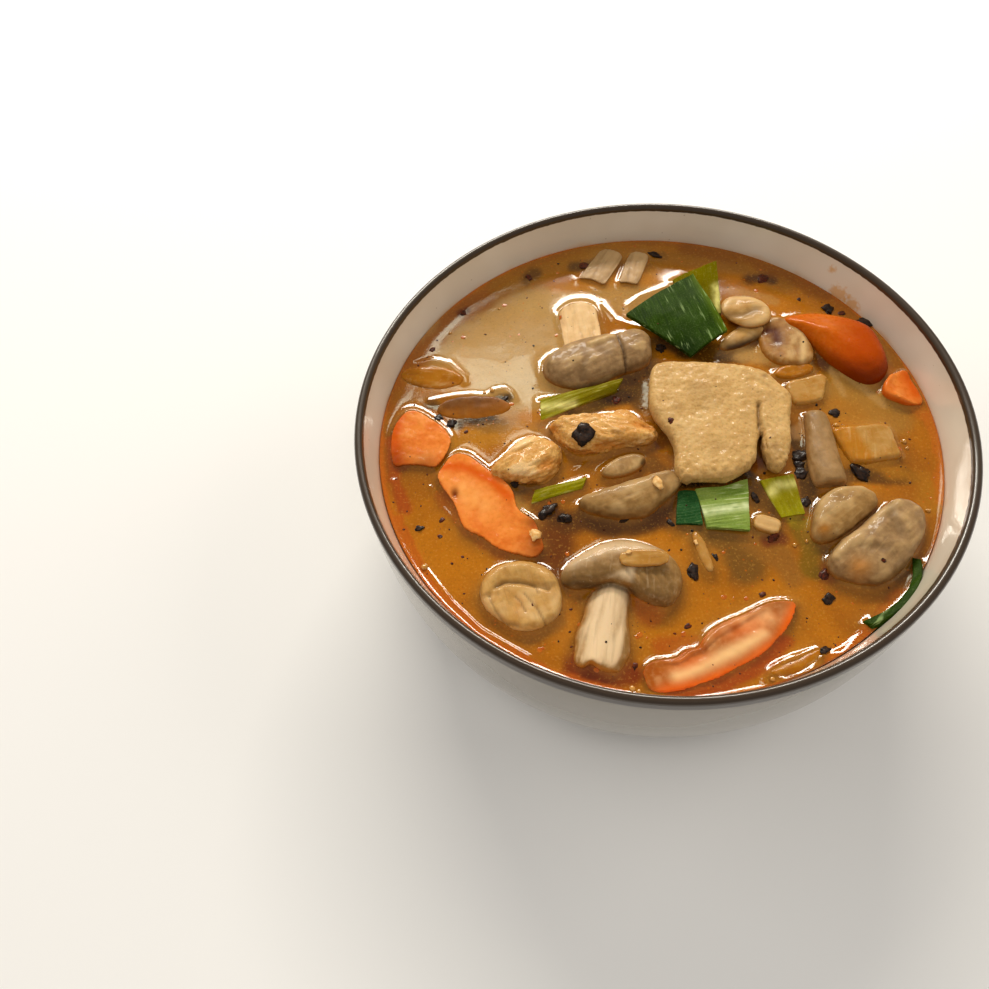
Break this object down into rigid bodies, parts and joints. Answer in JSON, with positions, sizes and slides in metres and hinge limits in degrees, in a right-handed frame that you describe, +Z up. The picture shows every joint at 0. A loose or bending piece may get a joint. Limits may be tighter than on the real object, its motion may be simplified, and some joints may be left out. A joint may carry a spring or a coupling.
{
  "type": "tom yum soup in a bowl",
  "caption": "Bowl of tom yum soup: amber broth with chicken, mushrooms, tomato wedges, leek and onion in a round dark-rimmed stoneware bowl.",
  "frame": {"origin": "middle of the underside of the bowl's foot ring", "axes": "+Z up, along the bowl's turning axis; -Y towards the side the bowl is looked at from; +X to that viewer's right"},
  "size_m": [0.18, 0.18, 0.066],
  "materials": {
    "bowl_glaze": "off-white glossy glaze with a warm brown-black band on the lip",
    "broth": "amber broth with red-orange oil, glossy and wet",
    "chicken": "poached chicken, grained and moist",
    "mushroom": "cooked white mushroom, smooth and moist",
    "tomato": "tomato flesh and skin, wet",
    "leek_green": "green leek leaf with pale veins, wet",
    "leek_heart": "yellow-green leek leaf, wet",
    "onion": "softened onion, translucent and wet"
  },
  "bodies": {
    "root": {"bowl": "bowl_glaze", "broth": "broth", "chicken_lump": "chicken", "chicken_shred": "chicken", "chicken_slice": "chicken", "leek_back": "leek_heart", "leek_curl": "leek_heart", "leek_dark": "leek_green", "leek_light": "leek_green", "leek_square": "leek_green", "leek_strip_left": "leek_heart", "leek_strip_low": "leek_heart", "leek_wall_strip": "leek_green", "mushroom_crescent": "mushroom", "mushroom_grey_cap": "mushroom", "mushroom_half": "mushroom", "mushroom_large": "mushroom", "mushroom_oval_slice": "mushroom", "mushroom_right_far": "mushroom", "mushroom_right_near": "mushroom", "mushroom_slice_brown": "mushroom", "mushroom_slice_cream": "mushroom", "mushroom_slice_pale": "mushroom", "mushroom_stem_back_left": "mushroom", "mushroom_stem_back_right": "mushroom", "mushroom_stem_bit": "mushroom", "mushroom_stem_cream": "mushroom", "mushroom_stem_grey": "mushroom", "mushroom_sunk_dark": "mushroom", "onion_cap_slice": "onion", "onion_front": "onion", "onion_heart": "onion", "onion_lens": "onion", "onion_sliver": "onion", "onion_square": "onion", "onion_sunk_left": "onion", "tomato_bit": "tomato", "tomato_front": "tomato", "tomato_left": "tomato", "tomato_right": "tomato", "tomato_wall": "tomato"}
  },
  "joints": []
}
